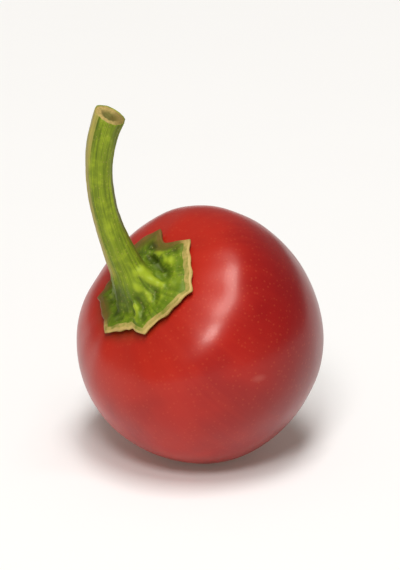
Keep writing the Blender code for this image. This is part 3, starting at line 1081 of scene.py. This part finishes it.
class PEPPER_OT_stage(bpy.types.Operator):
    """Set the floor, the soft light and the camera"""

    bl_idname = "pepper.stage"
    bl_label = "Stage"

    def execute(self, context):
        look = context.scene.pepper_stage
        low, high = CAD_BOX
        aim = (np.array(low) + np.array(high)) / 2.0
        aim[2] -= AIM_DROP
        self.floor(context, look)
        self.room(context, look)
        self.panels(context, look, aim)
        self.camera(context, look, aim)
        return {"FINISHED"}

    def add(self, context, name, data):
        """Link an object for a mesh, a light or a camera."""
        made = bpy.data.objects.new(name, data)
        context.scene.collection.objects.link(made)
        return made

    def floor(self, context, look):
        """A wide flat sheet just under the fruit."""
        mesh = bpy.data.meshes.new("floor")
        signs = ((-1.0, -1.0), (1.0, -1.0), (1.0, 1.0), (-1.0, 1.0))
        mesh.from_pydata([(FLOOR_HALF * x, FLOOR_HALF * y, 0.0) for x, y in signs], [], [(0, 1, 2, 3)])
        mesh.materials.append(floor_material(look))
        self.add(context, "floor", mesh)

    def room(self, context, look):
        """A dim room, paler behind the camera.

        The added light is the square of the share towards -Y, times the cube of one less the
        share upwards.
        """
        paint = Paint(bpy.data.worlds.new("room"), "Background")
        way = paint.place("Generated")
        facing = paint.maths("MAXIMUM", -1.0 * paint.part(way, "Y"), 0.0)
        low = 1.0 - paint.maths("MAXIMUM", paint.part(way, "Z"), 0.0)
        glow = facing**2.0 * low**3.0 * look.front
        context.scene.world = paint.finish(Color=ROOM_COLOUR, Strength=glow + look.ambient)
        context.scene.view_settings.view_transform = "Standard"
        context.scene.view_settings.exposure = look.exposure

    def panels(self, context, look, aim):
        """Two soft panels, one above the other with a bar between, that face the fruit."""
        rise = look.key_elevation
        towards = np.array((0.0, -math.cos(rise), math.sin(rise)))
        across = np.array((1.0, 0.0, 0.0))
        upward = np.cross(towards, across)
        turn_cos, turn_sin = math.cos(look.key_roll), math.sin(look.key_roll)
        side = turn_cos * across + turn_sin * upward
        top = turn_cos * upward - turn_sin * across
        half_height = PANEL_DISTANCE * math.tan(PANEL_HALF_HEIGHT)
        half_width = PANEL_DISTANCE * math.tan(PANEL_HALF_WIDTH)
        for name, middle, length, width, gain in PANELS:
            light = bpy.data.lights.new(name, "AREA")
            light.shape = "RECTANGLE"
            light.size, light.size_y = 2.0 * width * half_width, length * half_height
            light.energy = gain * look.key * math.pi * light.size * light.size_y
            lamp = self.add(context, name, light)
            lamp.location = aim + PANEL_DISTANCE * towards + middle * half_height * top
            lamp.rotation_euler = Matrix((side, top, towards)).transposed().to_euler()

    def camera(self, context, look, aim):
        """A long lens that looks along +Y from the photograph's height."""
        camera = bpy.data.cameras.new("camera")
        camera.lens = look.lens
        camera.sensor_fit = "VERTICAL"
        camera.sensor_height = SENSOR_HEIGHT
        camera.clip_start = CLIP_START
        camera.clip_end = CLIP_END
        away = look.picture_height * look.lens / SENSOR_HEIGHT
        view = self.add(context, "camera", camera)
        view.location = aim + away * np.array((0.0, -math.cos(look.elevation), math.sin(look.elevation)))
        view.rotation_euler = (math.pi / 2.0 - look.elevation, 0.0, 0.0)
        context.scene.camera = view


class PEPPER_PT_panel(bpy.types.Panel):
    """The pepper's pieces in the sidebar"""

    bl_label = "Cherry Pepper"
    bl_idname = "PEPPER_PT_panel"
    bl_space_type = "VIEW_3D"
    bl_region_type = "UI"
    bl_category = "Cherry Pepper"

    def draw(self, context):
        for operator, settings in zip(OPERATORS, SETTINGS):
            box = self.layout.box()
            group = getattr(context.scene, settings)
            for name in type(group).__annotations__:
                box.prop(group, name)
            box.operator(operator.bl_idname)


OPERATORS = (PEPPER_OT_fruit, PEPPER_OT_stem_and_calyx, PEPPER_OT_stage)
SETTINGS = {
    "pepper_fruit": PepperFruitSettings,
    "pepper_stem": PepperStemSettings,
    "pepper_stage": PepperStageSettings,
}
CLASSES = (*SETTINGS.values(), *OPERATORS, PEPPER_PT_panel)


def register():
    for made in CLASSES:
        bpy.utils.register_class(made)
    for name, group in SETTINGS.items():
        setattr(bpy.types.Scene, name, PointerProperty(type=group))


def unregister():
    for name in SETTINGS:
        delattr(bpy.types.Scene, name)
    for made in reversed(CLASSES):
        bpy.utils.unregister_class(made)


def main():
    register()
    bpy.ops.pepper.fruit()
    bpy.ops.pepper.stem_and_calyx()
    bpy.ops.pepper.stage()
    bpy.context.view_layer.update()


if __name__ == "__main__":
    main()
